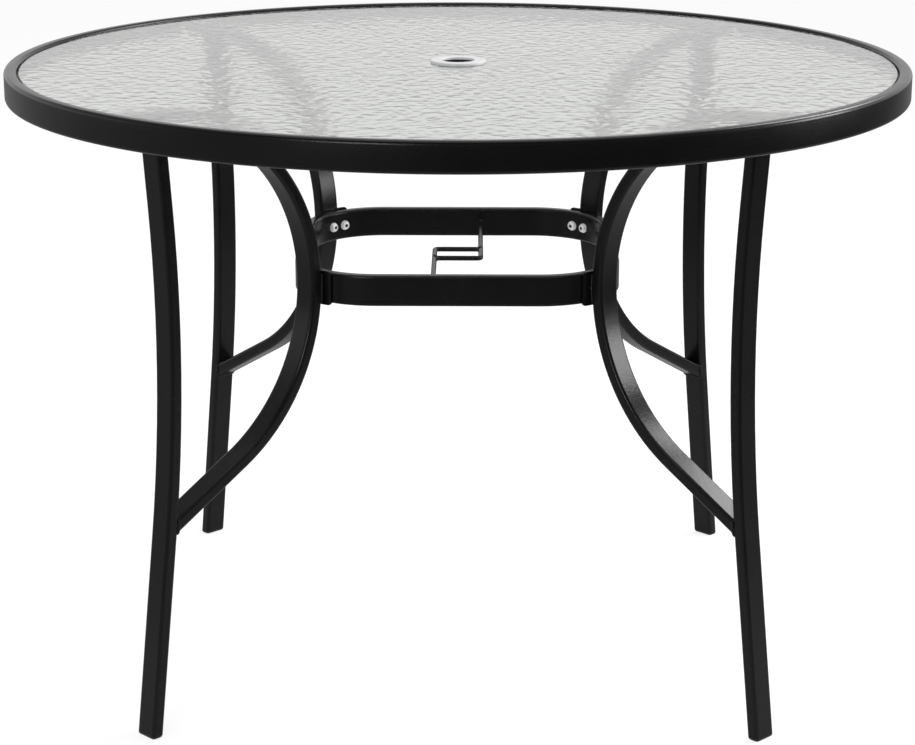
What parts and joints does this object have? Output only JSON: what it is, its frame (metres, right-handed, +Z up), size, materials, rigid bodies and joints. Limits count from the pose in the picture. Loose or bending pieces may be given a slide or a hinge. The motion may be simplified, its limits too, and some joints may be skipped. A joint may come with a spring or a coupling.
{
  "type": "umbrella table",
  "caption": "Round garden table with a wavy glass top in a black tube rim, bent legs and braces tied by a centre ring, and a lined hole for an umbrella pole.",
  "frame": {"origin": "on the floor, under the middle of the umbrella hole", "axes": "+Z up, -Y to the front, +X to the right; the legs stand on the diagonals"},
  "size_m": [1.067, 1.067, 0.719],
  "materials": {
    "black_steel": "gloss powder coat with a fine orange peel",
    "wavy_glass": "tempered, smooth above, water-wave relief below",
    "white_plastic": "moulded, satin",
    "black_plastic": "moulded, fine grain",
    "clear_vinyl": "soft, clear",
    "zinc_steel": "zinc plated"
  },
  "bodies": {
    "frame": {"table_rim": "black_steel", "glass_tabs": "black_steel", "centre_ring": "black_steel", "pole_guide_rear": "black_steel", "pole_guide_front": "black_steel", "leg_rear_right": "black_steel", "brace_rear_right": "black_steel", "rim_socket_rear_right": "black_steel", "saddle_bracket_rear_right": "black_steel", "leg_rear_left": "black_steel", "brace_rear_left": "black_steel", "rim_socket_rear_left": "black_steel", "saddle_bracket_rear_left": "black_steel", "leg_front_left": "black_steel", "brace_front_left": "black_steel", "rim_socket_front_left": "black_steel", "saddle_bracket_front_left": "black_steel", "leg_front_right": "black_steel", "brace_front_right": "black_steel", "rim_socket_front_right": "black_steel", "saddle_bracket_front_right": "black_steel", "glass_pads": "clear_vinyl", "foot_cap_rear_right": "black_plastic", "foot_cap_rear_left": "black_plastic", "foot_cap_front_left": "black_plastic", "foot_cap_front_right": "black_plastic", "socket_bolts": "zinc_steel", "socket_nuts": "zinc_steel", "ring_bolts": "zinc_steel", "ring_washers": "zinc_steel"},
    "glass": {"glass_top": "wavy_glass"},
    "umbrella_ring_set": {"umbrella_ring": "white_plastic", "pole_bush": "black_plastic"}
  },
  "joints": [
    {"name": "glass_lift", "type": "slide", "parent": "frame", "child": "glass", "axis": [0, 0, 1], "range_m": [0, 0.1]},
    {"name": "umbrella_ring_lift", "type": "slide", "parent": "glass", "child": "umbrella_ring_set", "axis": [0, 0, 1], "range_m": [0, 0.06]}
  ]
}
